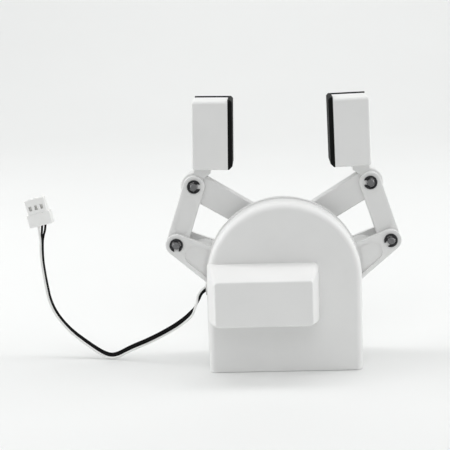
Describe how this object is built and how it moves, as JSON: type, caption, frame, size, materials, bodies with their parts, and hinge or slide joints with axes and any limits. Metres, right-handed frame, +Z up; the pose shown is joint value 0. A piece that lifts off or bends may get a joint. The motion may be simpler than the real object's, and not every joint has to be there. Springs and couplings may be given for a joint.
{
  "type": "parallel gripper",
  "caption": "Servo-driven parallel gripper: geared arms and upper links on a D-shaped housing carry upright rubber-padded fingers, with a short connector lead.",
  "frame": {"origin": "under the middle of the gripper, on the plane its base stands on", "axes": "+Z up towards the fingertips, +X to the right seen from the front, +Y to the back; the servo housing faces -Y"},
  "size_m": [0.1587, 0.0502, 0.1113],
  "materials": {
    "shell_white": "fine-grained satin moulded white plastic",
    "link_white": "satin moulded white plastic",
    "pad_rubber": "black rubber, dull",
    "pin_steel": "turned steel",
    "clip_steel": "black oxide spring steel",
    "screw_steel": "zinc-plated steel",
    "insert_brass": "knurled brass",
    "servo_plastic": "black moulded plastic",
    "servo_alloy": "machined aluminium",
    "motor_steel": "drawn steel can",
    "board_green": "lacquered fibreglass board",
    "grommet_rubber": "grey rubber",
    "lead_insulation": "soft plastic insulation in white and black",
    "plug_white": "moulded nylon",
    "contact_tin": "tin-plated bronze",
    "spacer_nylon": "turned nylon"
  },
  "bodies": {
    "housing": {"front_shell": "shell_white", "bearing_plate": "shell_white", "rear_shell": "shell_white", "cover_screws": "screw_steel", "pivot_pins": "pin_steel", "driven_arm_pin": "pin_steel", "link_spacers": "spacer_nylon", "threaded_inserts": "insert_brass", "servo_gear_case": "servo_plastic", "servo_motor_case": "servo_alloy", "servo_end_cap": "servo_plastic", "servo_motor": "motor_steel", "servo_potentiometer": "motor_steel", "servo_circuit_board": "board_green", "servo_mounting_screws": "screw_steel", "lead_grommet": "grommet_rubber", "lead": "lead_insulation", "plug_housing": "plug_white", "plug_contacts": "contact_tin"},
    "left_arm": {"left_gear_arm": "link_white", "left_arm_pin": "pin_steel", "left_arm_clip": "clip_steel", "servo_output_shaft": "pin_steel", "servo_horn": "servo_alloy", "horn_screw": "screw_steel"},
    "right_arm": {"right_gear_arm": "link_white", "right_arm_pin": "pin_steel", "right_arm_clip": "clip_steel"},
    "left_link": {"left_upper_link": "link_white"},
    "right_link": {"right_upper_link": "link_white"},
    "left_finger_carrier": {"left_coupler": "link_white", "left_finger": "shell_white", "left_finger_pad": "pad_rubber", "left_finger_screws": "screw_steel", "left_finger_pin": "pin_steel", "left_finger_clip": "clip_steel"},
    "right_finger_carrier": {"right_coupler": "link_white", "right_finger": "shell_white", "right_finger_pad": "pad_rubber", "right_finger_screws": "screw_steel", "right_finger_pin": "pin_steel", "right_finger_clip": "clip_steel"}
  },
  "joints": [
    {"name": "left_arm_turn", "type": "hinge", "parent": "housing", "child": "left_arm", "pos_m": [-0.014, 0.0141, 0.0329], "axis": [0, 1, 0], "range_deg": [-12, 40]},
    {"name": "right_arm_turn", "type": "hinge", "parent": "housing", "child": "right_arm", "pos_m": [0.014, 0.0141, 0.0329], "axis": [0, 1, 0], "range_deg": [-40, 12]},
    {"name": "left_link_turn", "type": "hinge", "parent": "housing", "child": "left_link", "pos_m": [-0.006, 0.0141, 0.05695], "axis": [0, 1, 0], "range_deg": [-12, 40]},
    {"name": "right_link_turn", "type": "hinge", "parent": "housing", "child": "right_link", "pos_m": [0.006, 0.0141, 0.05695], "axis": [0, 1, 0], "range_deg": [-40, 12]},
    {"name": "left_carrier_turn", "type": "hinge", "parent": "left_arm", "child": "left_finger_carrier", "pos_m": [-0.04441, 0.0141, 0.05125], "axis": [0, 1, 0], "range_deg": [-40, 12]},
    {"name": "right_carrier_turn", "type": "hinge", "parent": "right_arm", "child": "right_finger_carrier", "pos_m": [0.04441, 0.0141, 0.05125], "axis": [0, 1, 0], "range_deg": [-12, 40]}
  ],
  "couplings": [
    {"joint": "right_arm_turn", "follows": "left_arm_turn", "ratio": -1},
    {"joint": "left_link_turn", "follows": "left_arm_turn", "ratio": 1},
    {"joint": "right_link_turn", "follows": "left_arm_turn", "ratio": -1},
    {"joint": "left_carrier_turn", "follows": "left_arm_turn", "ratio": -1},
    {"joint": "right_carrier_turn", "follows": "left_arm_turn", "ratio": 1}
  ]
}
